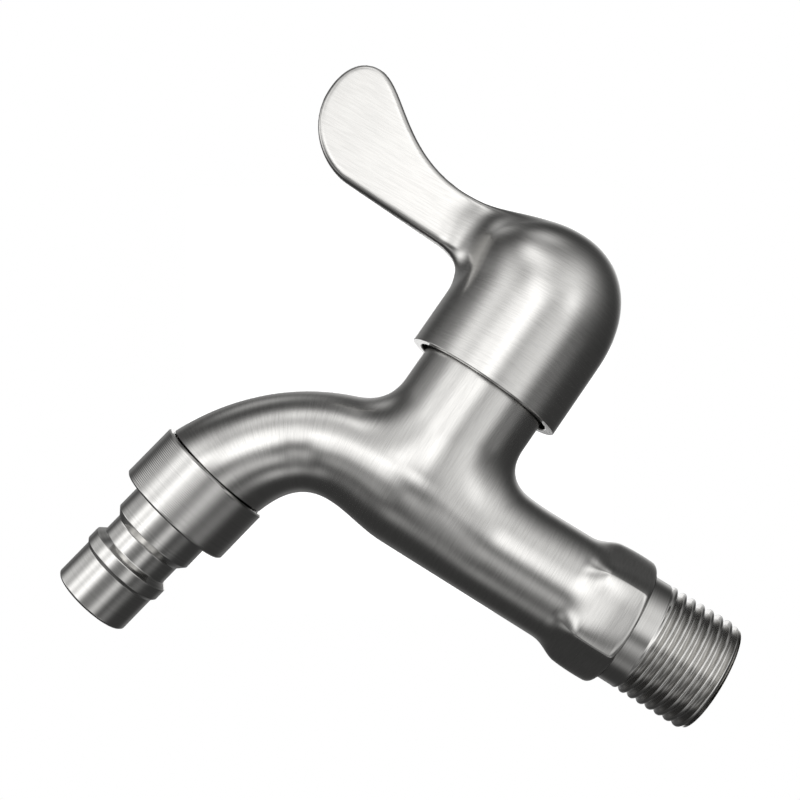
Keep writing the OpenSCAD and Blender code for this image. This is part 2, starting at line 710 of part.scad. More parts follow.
// Spindle: tongue, drive flange with its stop notch, grooved shaft and splined head
module spindle() color(brass) at_neck() {
  difference() {
    union() {
      translate([0, 0, moving_disc_base]) tongue(0, 0.1);
      translate([0, 0, drive_base]) cylinder(r = disc_r - running_play, h = drive_t);
      translate([0, 0, drive_top - 0.1]) cylinder(r = shaft_r, h = spline_base - drive_top + 0.1);
    }
    rotate(-stop_angle / 2 - stop_play - quarter_turn) translate([0, 0, drive_base - 0.01])
      sector(disc_r + 1, stop_angle + quarter_turn + 2 * stop_play, drive_t + 0.02,
        disc_r - stop_depth - 0.2);
    for (h = [lower_seal_h, upper_seal_h]) translate([0, 0, h - seal_cord_d / 2 - 0.1])
      tube(shaft_r + 1, shaft_r - groove_depth, 0, seal_cord_d + 0.2);
    translate([0, 0, clip_base - clip_play])
      tube(shaft_r + 1, shaft_r - clip_groove_depth, 0, clip_t + 2 * clip_play);
  }
  translate([0, 0, spline_base - 0.1]) linear_extrude(spline_len + 0.1) spline(spline_d / 2);
}
// Toothed section of the spline
module spline(r) polygon([
  for (i = [0 : spline_teeth - 1]) for (k = [0 : 3])
    let (a = 360 * (i + k / 4 + 0.125) / spline_teeth, tip = (k == 0 || k == 1) ? 0 : 0.4)
    (r - tip) * [cos(a), sin(a)]
]);

// Open ring that keeps the spindle in the gland
module spindle_clip() color(steel) at_neck() difference() {
  tube(shaft_r + clip_stand, shaft_r - clip_groove_depth + clip_play, clip_base, clip_top);
  translate([0, -clip_opening / 2, clip_base - over])
    cube([shaft_r + clip_stand + over, clip_opening, clip_t + 2 * over]);
}

// Round seal in a groove of the spindle, pressed to the groove's depth
module spindle_seal(h) color(rubber) at_neck(h) rotate_extrude()
  translate([shaft_bore_r - seal_touch - seal_w / 2, 0]) seal_section();
module seal_section() intersection() {
  circle(d = seal_cord_d);
  square([seal_w, seal_cord_d], center = true);
}
module upper_spindle_seal() spindle_seal(upper_seal_h);
module lower_spindle_seal() spindle_seal(lower_seal_h);

// Half section of the dome, from its base to its top
function dome_points(r, low, high) = [for (i = [0 : dome_steps]) let (a = 90 * i / dome_steps)
  [r * pow(cos(a), 2 / dome_power), low + (high - low) * pow(sin(a), 2 / dome_power)]];

module handle() color(steel) difference() {
  union() {
    at_neck() rotate_extrude() polygon(concat(
      [[0, cap_rim], [cap_r - 0.3, cap_rim], [cap_r, cap_rim + 0.3]],
      dome_points(cap_r, dome_base, dome_top)
    ));
    lever();
  }
  handle_cavity();
}
// Hollow of the cap round its boss, the splined socket and the hole for the set screw
module handle_cavity() at_neck() {
  difference() {
    rotate_extrude() intersection() {
      polygon(concat([[0, cap_rim - over], [cavity_r, cap_rim - over]],
        dome_points(cavity_r, dome_base, dome_top - cap_wall)));
      translate([0, cap_rim - over]) square([cap_r, cavity_top - cap_rim + over]);
    }
    translate([0, 0, boss_low]) cylinder(r = boss_r, h = dome_top - boss_low);
    translate([0, 0, set_screw_h]) rotate([0, 90, 0])
      cylinder(r = set_screw_d / 2 + set_screw_wall, h = cap_r);
  }
  translate([0, 0, boss_low - over]) linear_extrude(socket_top - boss_low + over)
    spline(spline_d / 2 + running_play);
  translate([0, 0, set_screw_h]) rotate([0, 90, 0])
    cylinder(d = set_screw_d + 2 * running_play, h = cap_r + over);
}

module set_screw() color(steel) at_neck(set_screw_h) rotate([0, 90, 0]) {
  point = 0.8;
  socket_depth = 2;
  socket_af = set_screw_d / 2;
  difference() {
    union() {
      translate([0, 0, set_screw_tip])
        cylinder(r1 = set_screw_d / 4, r2 = set_screw_d / 2, h = point);
      translate([0, 0, set_screw_tip + point]) cylinder(d = set_screw_d, h = set_screw_len - point);
    }
    translate([0, 0, set_screw_tip + set_screw_len - socket_depth])
      linear_extrude(socket_depth + over) circle(d = socket_af / cos(30), $fn = 6);
  }
}

// Lever: an upright blade whose edges are curves, and which swells into the cap by fillets
// A station holds the upper point, the lower point and the half thickness
function blade_half_t(x) =
  mix(lever_tip_t, lever_root_t, (x - lever_tip_x) / (lever_root_x - lever_tip_x)) / 2;
function tip_stations() = [for (i = [1 : tip_steps])
  let (
    t = pow(i / tip_steps, 1.6),
    up = bezier(lever_up_tip, t),
    low = bezier(lever_low_tip, t),
    inset = min(1, (up[0] - lever_tip_x) / lever_edge)
  )
  [up, low, blade_half_t(up[0]) * sqrt(1 - pow(1 - inset, 2))]];
function blade_stations() = [for (i = [1 : blade_steps])
  let (t = i / blade_steps, up = bezier(lever_up_blade, t), low = bezier(lever_low_blade, t))
  [up, low, blade_half_t(up[0])]];
function root_stations() = [for (i = [1 : root_steps])
  let (
    a = 90 * i / root_steps,
    swell = lever_fillet * (1 - cos(a)),
    up_x = lever_root_x + lever_up_run * sin(a),
    low_x = lever_root_x + lever_root_step + lever_fillet * sin(a)
  )
  [[up_x, lever_waist_h + 0.4 * swell], [low_x, lever_low_root_h - 0.2 - 1.1 * swell],
    lever_root_t / 2 + lever_spread * swell]];
function ridge_stations() = [for (s = [0.35, 0.7, 1])
  let (last = root_stations()[root_steps - 1])
  [[mix(last[0][0], ridge_x, s), mix(last[0][1], dome_top - 0.6, ease(s))],
    [mix(last[1][0], ridge_x - 4, s), last[1][1]], last[2] - 0.8 * s]];
// Ring round a station: an upright rectangle with rounded corners
function station_ring(st) =
  let (
    mid = (st[0] + st[1]) / 2,
    half = (st[0] - st[1]) / 2,
    tall = norm(half),
    along = half / tall,
    spread = clamp((st[2] - lever_root_t / 2) / (lever_spread * lever_fillet)),
    round_t = min(mix(lever_edge, 0.97 * st[2], sqrt(spread)), 0.9 * st[2] + 0.5 * spread, 0.9 * tall),
    corners = [[1, 1, 0], [-1, 1, 90], [-1, -1, 180], [1, -1, 270]]
  )
  [for (c = corners) for (k = [0 : edge_steps])
    let (
      a = c[2] + 90 * k / edge_steps,
      across = c[0] * (st[2] - round_t) + round_t * cos(a),
      up = c[1] * (tall - round_t) + round_t * sin(a)
    )
    [mid[0] + along[0] * up, across, mid[1] + along[1] * up]];
module lever() {
  stations = concat(tip_stations(), blade_stations(), root_stations(), ridge_stations());
  last = stations[len(stations) - 1];
  mid = (last[0] + last[1]) / 2;
  skin([for (st = stations) station_ring(st)], [lever_tip_x, 0, lever_tip_h],
    [mid[0], 0, mid[1]]);
}

tap_body();
spout_nut();
nozzle_washer();
hose_nipple();
union() { cartridge_housing(); housing_stop(); }
housing_gasket();
seat_seal();
seal_ring();
fixed_disc();
thrust_washer();
handle();
set_screw();
spindle();
spindle_clip();
upper_spindle_seal();
lower_spindle_seal();
moving_disc();
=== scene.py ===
"""Quarter-turn bib tap in satin stainless steel, put together from the wall inlet outwards."""
import math

import bmesh
import bpy
import numpy as np
from mathutils import Euler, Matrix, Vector


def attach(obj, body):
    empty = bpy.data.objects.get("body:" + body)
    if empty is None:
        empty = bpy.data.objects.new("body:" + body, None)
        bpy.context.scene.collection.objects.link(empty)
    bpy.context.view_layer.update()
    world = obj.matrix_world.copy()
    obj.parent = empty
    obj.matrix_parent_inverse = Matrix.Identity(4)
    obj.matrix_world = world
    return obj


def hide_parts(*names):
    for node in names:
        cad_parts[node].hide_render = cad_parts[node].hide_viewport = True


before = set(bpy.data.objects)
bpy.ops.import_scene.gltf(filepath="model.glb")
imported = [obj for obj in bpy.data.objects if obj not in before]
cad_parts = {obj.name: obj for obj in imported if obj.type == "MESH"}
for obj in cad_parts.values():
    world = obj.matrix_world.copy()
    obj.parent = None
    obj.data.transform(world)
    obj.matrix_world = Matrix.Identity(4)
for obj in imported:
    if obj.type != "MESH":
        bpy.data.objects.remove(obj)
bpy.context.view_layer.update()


# The photograph's view: a normal lens about 200 mm in front of the tap, rolled so that the inlet
# points down to the right. The tap hangs in front of a white sheet.
lens_mm = 51.155
camera_place = (-0.0380, -0.20805, -0.00312)
camera_turns = (95.3333, -31.7687, 3.2021)
viewer = bpy.data.cameras.new("viewer")
viewer.lens = lens_mm
viewer.sensor_width = 36
viewer.clip_start = 0.01
camera = bpy.data.objects.new("viewer", viewer)
camera.location = camera_place
camera.rotation_euler = Euler([math.radians(turn) for turn in camera_turns], "XYZ")
bpy.context.scene.collection.objects.link(camera)
bpy.context.scene.camera = camera
bpy.context.scene.view_settings.view_transform = "Standard"


# Studio. Soft lights stand round the tap, most of them above, with the dark gap that the camera
# looks through. Each is its degrees off the camera's line, its turn round it, width and brightness.
class Finish:
    """One value of a finish or light that is being made. Plain sums on it add Math nodes."""

    def __init__(self, tree, outputs=(), output=None):
        self.tree = tree
        self.outputs = outputs
        self.socket = None if output is None else outputs[output]

    def node(self, kind, settings=(), inputs=(), output=0):
        """Adds a node with its settings, then its sockets' values or links, for one output."""
        made = self.tree.nodes.new(kind)
        for name, value in dict(settings).items():
            if name == "stops":
                ramp = made.color_ramp.elements
                while len(ramp) < len(value):
                    ramp.new(0.5)
                for stop, (place, colour) in zip(ramp, value):
                    stop.position = place
                    stop.color = colour
            else:
                setattr(made, name, value)
        for key, value in dict(inputs).items():
            if isinstance(value, Finish):
                self.tree.links.new(value.socket, made.inputs[key])
            else:
                made.inputs[key].default_value = value
        return Finish(self.tree, made.outputs, output)

    def maths(self, operation, *values):
        return self.node("ShaderNodeMath", {"operation": operation}, dict(enumerate(values)))

    def __add__(self, other):
        return self.maths("ADD", self, other)

    __radd__ = __add__

    def __mul__(self, other):
        return self.maths("MULTIPLY", self, other)

    __rmul__ = __mul__

    def __sub__(self, other):
        return self.maths("SUBTRACT", self, other)

    def __rsub__(self, other):
        return self.maths("SUBTRACT", other, self)


light_banks = {
    "large": ((53, 37, 22, 1.0), (60, 130, 15, 0.95), (94, 166, 13, 1.5)),
    "above": (
        (15, 94, 8.5, 1.5), (27, 67, 8.5, 0.55), (35, 93, 8.5, 1.25), (57, 82, 8.5, 0.75),
        (69, 94, 8.5, 1.15), (95, 78, 8.5, 0.65), (119, 108, 8.5, 0.45),
    ),
    "left": ((32, 138, 8.5, 1.55), (33, 170, 8.5, 1.1), (58, 150, 8.5, 1.0)),
    "right": ((22, -8, 8.5, 0.55), (40, -21, 8.5, 0.8), (47, 11, 8.5, 0.75), (72, -37, 8.5, 0.3)),
    "below": (
        (25, -128, 8.5, 0.5), (27, -67, 8.5, 0.7), (40, -106, 10, 0.2), (50, -158, 8.5, 0.4),
        (64, -74, 8.5, 0.55), (65, -99, 8.5, 0.4), (69, -127, 8.5, 0.3), (83, -158, 8.5, 0.4),
    ),
    "behind": (
        (150, -90, 12, 0.15), (150, 30, 12, 0.2), (150, 90, 12, 0.25), (150, 150, 12, 0.2),
        (162, 42, 11, 0.7),
    ),
}
studio_dim = 0.05
white_behind_w = 7
studio = bpy.data.worlds.new("studio")
bpy.context.scene.world = studio
studio.use_nodes = True
studio.node_tree.nodes.clear()
sky = Finish(studio.node_tree)
towards = sky.node("ShaderNodeTexCoord")
view_turn = camera.rotation_euler.to_matrix()


def glow_from(off, turn, width):
    """1 in one direction seen from the tap, fading out over a width."""
    off, turn = math.radians(off), math.radians(turn)
    way = view_turn @ Vector(
        (math.sin(off) * math.cos(turn), math.sin(off) * math.sin(turn), math.cos(off))
    )
    facing = sky.node(
        "ShaderNodeVectorMath", {"operation": "DOT_PRODUCT"}, {0: towards, 1: way}, "Value"
    )
    return sky.maths("EXPONENT", (facing - 1) * (1 / math.radians(width) ** 2))


def seen_by(make, kind):
    """1 for one kind of ray, such as those that steel reflects, and 0 for others."""
    return make.node("ShaderNodeLightPath", output=kind)


light = studio_dim
for bank in light_banks.values():
    for off, turn, width, level in bank:
        light = light + level * glow_from(off, turn, width)
backdrop = (
    seen_by(sky, "Is Camera Ray") + seen_by(sky, "Is Transmission Ray")
    + seen_by(sky, "Is Glossy Ray") * glow_from(180, 0, white_behind_w)
)
shown = sky.node("ShaderNodeMix", {"data_type": "FLOAT"}, {0: backdrop, 2: light, 3: 1.0})
glow = sky.node("ShaderNodeBackground", (), {"Color": shown})
sky.node("ShaderNodeOutputWorld", (), {"Surface": glow}, None)


# White sheet that is floor and backdrop in one: the tap is shot from above it, far enough off for
# its shadow to fade out. Camera, polished steel and glass all see the sheet white.
sheet_away = 1.5
sheet_half = 0.28
sheet_glow = 0.55
sheet_white = (0.9, 0.9, 0.9, 1)
sheet_mesh = bpy.data.meshes.new("white_sheet")
sheet_mesh.from_pydata(
    [camera.location + view_turn @ Vector((x * sheet_half, y * sheet_half, -sheet_away))
     for x, y in ((-1, -1), (1, -1), (1, 1), (-1, 1))],
    [], [(0, 1, 2, 3)],
)
sheet_paper = bpy.data.materials.new("sheet_paper")
sheet_paper.use_nodes = True
sheet_paper.node_tree.nodes.clear()
paper = Finish(sheet_paper.node_tree)
lift = sheet_glow * (
    seen_by(paper, "Is Camera Ray") + seen_by(paper, "Is Glossy Ray")
    + seen_by(paper, "Is Transmission Ray")
)
lit_paper = paper.node("ShaderNodeAddShader", (), {
    0: paper.node("ShaderNodeBsdfDiffuse", (), {"Color": sheet_white}),
    1: paper.node("ShaderNodeEmission", (), {"Color": (1, 1, 1, 1), "Strength": lift}),
})
paper.node("ShaderNodeOutputMaterial", (), {"Surface": lit_paper}, None)
sheet_mesh.materials.append(sheet_paper)
sheet = bpy.data.objects.new("white_sheet", sheet_mesh)
bpy.context.scene.collection.objects.link(sheet)


# Cast body. Stainless steel, investment cast in one piece with neck and spout, then satin
# brushed by hand. The neck leans three degrees towards the wall. Sizes are in millimetres.
mm_per_m = 1000
skin_cell = 0.45
neck_foot = np.array((-49.4, 0, 0))
neck_lean = math.radians(3)
neck_up = np.array((math.sin(neck_lean), 0, math.cos(neck_lean)))
neck_r = 12.6
neck_top = 27.5
neck_trim = 0.6
neck_heel = 3
neck_heel_sharpness = 1.15
neck_fillet = 5.2
fillet_reach = 1.17
faint_blend = 5.0
barrel_r = 10.35
hump_h = 12.8
hump_len = 24
bulge_len = 18
outlet_tilt = math.radians(12.3)
outlet_down = np.array((-math.sin(outlet_tilt), 0, -math.cos(outlet_tilt)))
outlet_centre = np.array((-81.8, 0, -15.6))
spout_top_line = ((-49.4, 12.8), (-69.4, 12.8), (-84.433, 3.003), (-92.254, -13.321))
spout_low_line = ((-49.4, -10.35), (-57.8, -10.35), (-66.769, -4.437), (-71.346, -17.879))
spout_mid_w = 9.4
spout_end_r = 10.7
narrow_until = 0.55
widen_from = 0.62
nut_gap = 0.35
body_low = np.array((-95, -13.95, -21))
body_high = np.array((-17.4, 13.95, 29))
body_cut_x = -18


def bezier(points, t):
    """Places at t, from 0 to 1, on the curve of four control points."""
    p = np.array(points, float)
    s = 1 - t[:, None]
    t = t[:, None]
    return s ** 3 * p[0] + 3 * s * s * t * p[1] + 3 * s * t * t * p[2] + t ** 3 * p[3]


def ease(s):
    """From 0 to 1 with a level start and end."""
    s = np.clip(s, 0, 1)
    return s * s * (3 - 2 * s)


def soft_least(a, b, reach):
    """The lesser of two values, rounded over where they are within reach of each other."""
    near = np.maximum(reach - np.abs(a - b), 0) / reach
    return np.minimum(a, b) - near * near * reach / 4


def rolled_union(a, b, radius, cell):
    """Two fields joined by a rolled fillet, softened a little where they run nearly alike."""
    slopes = [np.stack(np.gradient(field, cell), -1) for field in (a, b)]
    size = [np.linalg.norm(slope, axis=-1) + 1e-9 for slope in slopes]
    alike = np.clip(np.sum(slopes[0] * slopes[1], axis=-1) / (size[0] * size[1]), -1, 1)
    rolled = fillet_reach * radius * (1 - alike)
    faint = faint_blend * np.sqrt(1 - alike ** 2) * np.maximum(alike, 0)
    return soft_least(a, b, rolled + faint + 1e-3)


def crossings(value, axis):
    """The grid edges along an axis on which the value changes sign."""
    first = np.take(value, np.arange(value.shape[axis] - 1), axis)
    second = np.take(value, np.arange(1, value.shape[axis]), axis)
    found = np.array(np.nonzero((first < 0) != (second < 0))).T
    a = first[tuple(found.T)]
    b = second[tuple(found.T)]
    return found, a / (a - b), a < 0


def skin_faces(value):
    """Four-sided faces round the cells where the value changes sign, in grid steps."""
    cells = [n - 1 for n in value.shape]
    total = np.zeros((np.prod(cells), 3))
    count = np.zeros(np.prod(cells))
    quads = []
    for axis in range(3):
        found, share, inside = crossings(value, axis)
        sides = [i for i in range(3) if i != axis]
        point = found.astype(float)
        point[:, axis] += share
        round_edge = []
        for step in ((0, 0), (1, 0), (1, 1), (0, 1)):
            cell = found.copy()
            cell[:, sides[0]] -= step[0]
            cell[:, sides[1]] -= step[1]
            fits = np.all((cell >= 0) & (cell < cells), axis=1)
            flat = np.ravel_multi_index(tuple(np.where(fits[:, None], cell, 0).T), cells)
            np.add.at(total, flat[fits], point[fits])
            np.add.at(count, flat[fits], 1)
            round_edge.append(np.where(fits, flat, -1))
        quad = np.stack(round_edge, 1)
        turn = inside if axis != 1 else ~inside
        quad[~turn] = quad[~turn][:, ::-1]
        quads.append(quad[np.all(quad >= 0, axis=1)])
    used = np.nonzero(count)[0]
    place = np.full(len(count), -1)
    place[used] = np.arange(len(used))
    return total[used] / count[used, None], place[np.concatenate(quads)]


def between(grid, steps):
    """Values of a grid at points between its nodes, given in grid steps."""
    low = np.clip(np.floor(steps).astype(int), 0, np.array(grid.shape[:3]) - 2)
    part = steps - low
    out = 0
    for corner in np.ndindex(2, 2, 2):
        weight = np.prod(np.where(corner, part, 1 - part), axis=1)
        at = low + corner
        out = out + weight[:, None] * grid[at[:, 0], at[:, 1], at[:, 2]]
    return out


def shade_by_field(mesh, value, low, cell):
    """Smooth shading from the field's slope, and flat shading where the casting is trimmed."""
    slope = np.stack(np.gradient(value, cell), -1)
    places = np.zeros(len(mesh.vertices) * 3)
    mesh.vertices.foreach_get("co", places)
    normal = between(slope, (places.reshape(-1, 3) * mm_per_m - low) / cell)
    normal /= np.linalg.norm(normal, axis=1)[:, None]
    corner = np.zeros(len(mesh.loops), int)
    mesh.loops.foreach_get("vertex_index", corner)
    face = np.repeat(
        np.array([p.normal for p in mesh.polygons]), [p.loop_total for p in mesh.polygons], axis=0
    )
    curved = np.sum(normal[corner] * face, axis=1) > 0.8
    mesh.polygons.foreach_set("use_smooth", np.ones(len(mesh.polygons), bool))
    mesh.normals_split_custom_set(np.where(curved[:, None], normal[corner], face))


def trim(mesh, cuts):
    """Takes off what lies beyond each plane, which is a point and the way out."""
    work = bmesh.new()
    work.from_mesh(mesh)
    for point, out in cuts:
        bmesh.ops.bisect_plane(
            work, geom=work.verts[:] + work.edges[:] + work.faces[:], dist=1e-7,
            plane_co=Vector(point) / mm_per_m, plane_no=Vector(out), clear_outer=True,
        )
    work.to_mesh(mesh)
    work.free()


def drill(piece, holes):
    """Takes each hole's form out of a piece, and the form itself out of the scene."""
    for hole in holes:
        cut = piece.modifiers.new("hole", "BOOLEAN")
        cut.object = hole
        cut.solver = "EXACT"
        drilled = bpy.data.meshes.new_from_object(
            piece.evaluated_get(bpy.context.evaluated_depsgraph_get())
        )
        piece.modifiers.clear()
        piece.data = drilled
        bpy.data.objects.remove(hole)


def cast_skin(name, field, low, high, cell, cuts=(), holes=()):
    """A casting's skin where its field is zero, trimmed by planes and drilled, in millimetres."""
    axes = [np.arange(low[i], high[i] + cell, cell) for i in range(3)]
    x, y, z = axes[0][:, None, None], axes[1][None, :, None], axes[2][None, None, :]
    value = field(x, y, z, cell)
    points, quads = skin_faces(value)
    mesh = bpy.data.meshes.new(name)
    mesh.from_pydata((points * cell + low) / mm_per_m, [], quads.tolist())
    trim(mesh, cuts)
    piece = bpy.data.objects.new(name, mesh)
    bpy.context.scene.collection.objects.link(piece)
    drill(piece, holes)
    shade_by_field(piece.data, value, low, cell)
    return piece


def tube_section(x, z):
    """Middle, half height and half width of the barrel's or spout's section through (x, z)."""
    t = np.linspace(0, 1.15, 116)
    top = bezier(spout_top_line, t)
    low = bezier(spout_low_line, t)
    up = top - low
    side = up[:, 0] * (z[..., None] - low[:, 1]) - up[:, 1] * (x[..., None] - low[:, 0])
    past = np.clip(np.argmax(side < 0, axis=-1), 1, len(t) - 1)
    before = np.take_along_axis(side, past[..., None] - 1, -1)[..., 0]
    after = np.take_along_axis(side, past[..., None], -1)[..., 0]
    place = t[past - 1] + (t[past] - t[past - 1]) * np.clip(before / (before - after), 0, 1)
    place = np.where(x < neck_foot[0], place, 0)
    spout_top = bezier(spout_top_line, place.ravel()).reshape(place.shape + (2,))
    spout_low = bezier(spout_low_line, place.ravel()).reshape(place.shape + (2,))
    narrow = (neck_r - spout_mid_w) * (1 - ease(place / narrow_until))
    widen = (spout_end_r - spout_mid_w) * ease((place - widen_from) / (1 - widen_from))
    barrel = x >= neck_foot[0]
    hump = barrel_r + (hump_h - barrel_r) * ease((neck_foot[0] + hump_len - x) / hump_len)
    bulge = barrel_r + (neck_r - barrel_r) * ease((neck_foot[0] + bulge_len - x) / bulge_len)
    upper = np.where(barrel[..., None], np.stack((x, hump), -1), spout_top)
    lower = np.where(barrel[..., None], np.stack((x, np.full_like(x, -barrel_r)), -1), spout_low)
    half_w = np.where(barrel, bulge, spout_mid_w + narrow + widen)
    return (upper + lower) / 2, (upper - lower) / 2, half_w


def by_neck(x, y, z):
    """Height along the neck's axis and distance from it."""
    height = (x - neck_foot[0]) * neck_up[0] + z * neck_up[2]
    away = np.sqrt((x - neck_foot[0] - height * neck_up[0]) ** 2 + y * y
                   + (z - height * neck_up[2]) ** 2)
    return height, away


def body_field(x, y, z, cell):
    """Below zero inside barrel, neck and spout, and about the distance from them outside."""
    flat_x, flat_z = np.broadcast_arrays(x[:, 0], z[0])
    middle, half, half_w = tube_section(flat_x, flat_z)
    from_mid = np.stack((flat_x, flat_z), -1) - middle
    across = np.sum(from_mid * half, -1) / np.sum(half * half, -1)
    reach = np.sqrt(across[:, None] ** 2 + (y / half_w[:, None]) ** 2) + 1e-9
    away = np.sqrt(np.sum(from_mid ** 2, -1)[:, None] + y * y)
    tube = away * (1 - 1 / reach)
    height, from_neck = by_neck(x, y, z)
    heel = neck_heel_sharpness * np.maximum(neck_heel - height, 0)
    neck = np.hypot(from_neck, heel) - neck_r
    return rolled_union(tube, neck, neck_fillet, cell)


def principled(make, values):
    """Ends a finish: its surface node, with numbers set on it and links for what varies."""
    surface = make.node("ShaderNodeBsdfPrincipled", (), values)
    make.node("ShaderNodeOutputMaterial", (), {"Surface": surface}, None)


def finish_start(name):
    """A new material with no nodes, and the tree that its finish grows on."""
    material = bpy.data.materials.new(name)
    material.use_nodes = True
    material.node_tree.nodes.clear()
    return material, Finish(material.node_tree)


def grain(make, place, stretch, detail=3.0):
    """Noise from 0 to 1, with so many grains to the metre along each axis."""
    drawn = make.node("ShaderNodeVectorMath", {"operation": "MULTIPLY"}, {0: place, 1: stretch})
    return make.node("ShaderNodeTexNoise", (), {"Vector": drawn, "Scale": 1.0, "Detail": detail})


patches_per_m = 140
ripples_per_m = 75
uneven = 0.06


def satin(name, streaks, tint, rough, scratch_h, ripple_h):
    """Brushed steel: scratches and slow ripples bend its gloss, scratches and patches dull it."""
    material, make = finish_start(name)
    place = make.node("ShaderNodeTexCoord", output="Object")
    scratch, dull = streaks(make, place)
    patch = grain(make, place, (patches_per_m,) * 3, 2.0)
    ripple = grain(make, place, (ripples_per_m,) * 3, 1.0)
    colour = make.node(
        "ShaderNodeValToRGB",
        {"stops": ((0.3, [0.9 * c for c in tint] + [1]), (0.62, [*tint, 1]))}, {"Fac": scratch},
    )
    waved = make.node("ShaderNodeBump", (), {"Height": ripple, "Distance": ripple_h})
    normal = make.node(
        "ShaderNodeBump", (), {"Height": scratch, "Distance": scratch_h, "Normal": waved}
    )
    principled(make, {
        "Base Color": colour, "Metallic": 1.0,
        "Roughness": rough - uneven + uneven * scratch + uneven * patch + dull, "Normal": normal,
    })
    return material


def split(make, place):
    """The three parts of a place, each as a plain value."""
    parts = make.node("ShaderNodeSeparateXYZ", (), {"Vector": place}, None).outputs
    return [Finish(make.tree, parts, axis) for axis in range(3)]


def joined(make, *parts):
    """A place made of its parts."""
    return make.node("ShaderNodeCombineXYZ", (), dict(enumerate(parts)))


def chosen(make, share, first, second):
    """The first value where the share is 0, going over to the second where it is 1."""
    return make.node("ShaderNodeMix", {"data_type": "FLOAT"}, {0: share, 2: first, 3: second})


spout_hub = (-61.3, -20.1)
spout_bend_m = 0.024
tube_brushing = (4200, 280, 280)
neck_brushing = (4300, 320, 1)
neck_slope = 0.052
neck_brushed_m = (0.009, 0.017)
neck_dull = 0.03


def body_streaks(make, place):
    """Brushing round the barrel and the spout, but up and down the neck, which is duller."""
    x, y, z = split(make, place)
    from_x, from_z = x - spout_hub[0] / mm_per_m, z - spout_hub[1] / mm_per_m
    on_spout = make.maths("LESS_THAN", from_x, 0)
    swing = make.maths("ARCTAN2", from_x, from_z) * spout_bend_m
    far = make.maths("SQRT", from_x * from_x + from_z * from_z)
    along = chosen(make, on_spout, from_x, swing)
    off = chosen(make, on_spout, from_z, far)
    tube = grain(make, joined(make, along, y, off), tube_brushing)
    turn = make.maths("ARCTAN2", y, x - neck_foot[0] / mm_per_m - neck_slope * z)
    neck = grain(make, joined(make, turn * (neck_r / mm_per_m), z), neck_brushing)
    upper = make.node(
        "ShaderNodeMapRange", {"interpolation_type": "SMOOTHSTEP"},
        {"Value": z, "From Min": neck_brushed_m[0], "From Max": neck_brushed_m[1]},
    )
    return chosen(make, upper, tube, neck), neck_dull * upper


steel_tint = (0.63, 0.622, 0.605)
body_satin = satin(
    "body_satin", body_streaks, steel_tint, rough=0.18, scratch_h=6e-6, ripple_h=1.0e-4
)
casting = cast_skin(
    "body_casting", body_field, body_low, body_high, skin_cell,
    cuts=(
        ((body_cut_x, 0, 0), (1, 0, 0)),
        (outlet_centre - outlet_down * nut_gap, outlet_down),
        (neck_foot + neck_up * (neck_top - neck_trim), neck_up),
    ),
)
casting.data.materials.append(body_satin)
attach(casting, "tap")
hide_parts("tap_body")


# Inlet end of the casting: cast hexagon that the barrel swells into, then a turned shoulder, a
# G1/2 pipe thread cut in the lathe, and the bored waterway down to the valve seat.
inlet_way = (1, 0, 0)
hex_flat = 11.0
hex_corner_r = 12.5
hex_face_x = -4.4
hex_back_x = -12.0
hex_blend_x = -17.8
hex_flat_x = -8.0
hex_skin_x = -19.2
hex_step = 0.16
hex_sides = 360
hex_turn = math.radians(30)
hex_rounding = 1.5
hex_edge_blend = 1.3
hex_crown = 0.3
shoulder_seat_r = 10.8
shoulder_r = 10.3
shoulder_len = 3.4
inlet_bore_r = 7.25
inlet_bore_x = -32.1
seat_port_r = 5.0
seat_port_x = -47.0
thread_len = 13.0
thread_crest_r = 10.4775
thread_depth = 1.16
thread_pitch = 1.814
thread_flat = 0.12
thread_rounding = 0.07
thread_skin_x = -1.12
thread_step = 0.07
thread_sides = 300
run_out_x = -1.4
run_out_len = 1.5
lead_len = 0.95
lead_fall = 0.95
lead_r = 9.9
lead_blend = 0.2
arc_steps = 5
hair = 0.05


def rows_skin(name, rows):
    """A closed skin through rows of points with their normals, in millimetres, row after row."""
    points = np.array([row[0] for row in rows])
    normals = np.array([row[1] for row in rows])
    count = points.shape[1]
    i, j = np.meshgrid(np.arange(len(rows) - 1), np.arange(count), indexing="ij")
    k = (j + 1) % count
    quads = np.stack(
        (i * count + j, (i + 1) * count + j, (i + 1) * count + k, i * count + k), -1
    ).reshape(-1, 4)
    flat = points.reshape(-1, 3)
    flat_normals = normals.reshape(-1, 3)
    first, second, third = (flat[quads[:, n]] for n in (0, 1, 2))
    facing = np.cross(second - first, third - first)
    facing += np.cross(third - first, flat[quads[:, 3]] - first)
    real = np.linalg.norm(facing, axis=1) > 1e-9
    quads, facing = quads[real], facing[real]
    back = np.sum(facing * flat_normals[quads].sum(1), axis=1) < 0
    quads[back] = quads[back][:, ::-1]
    mesh = bpy.data.meshes.new(name)
    mesh.from_pydata(flat / mm_per_m, [], quads.tolist())
    mesh.polygons.foreach_set("use_smooth", np.ones(len(quads), bool))
    mesh.normals_split_custom_set(flat_normals[quads.ravel()])
    piece = bpy.data.objects.new(name, mesh)
    bpy.context.scene.collection.objects.link(piece)
    return piece


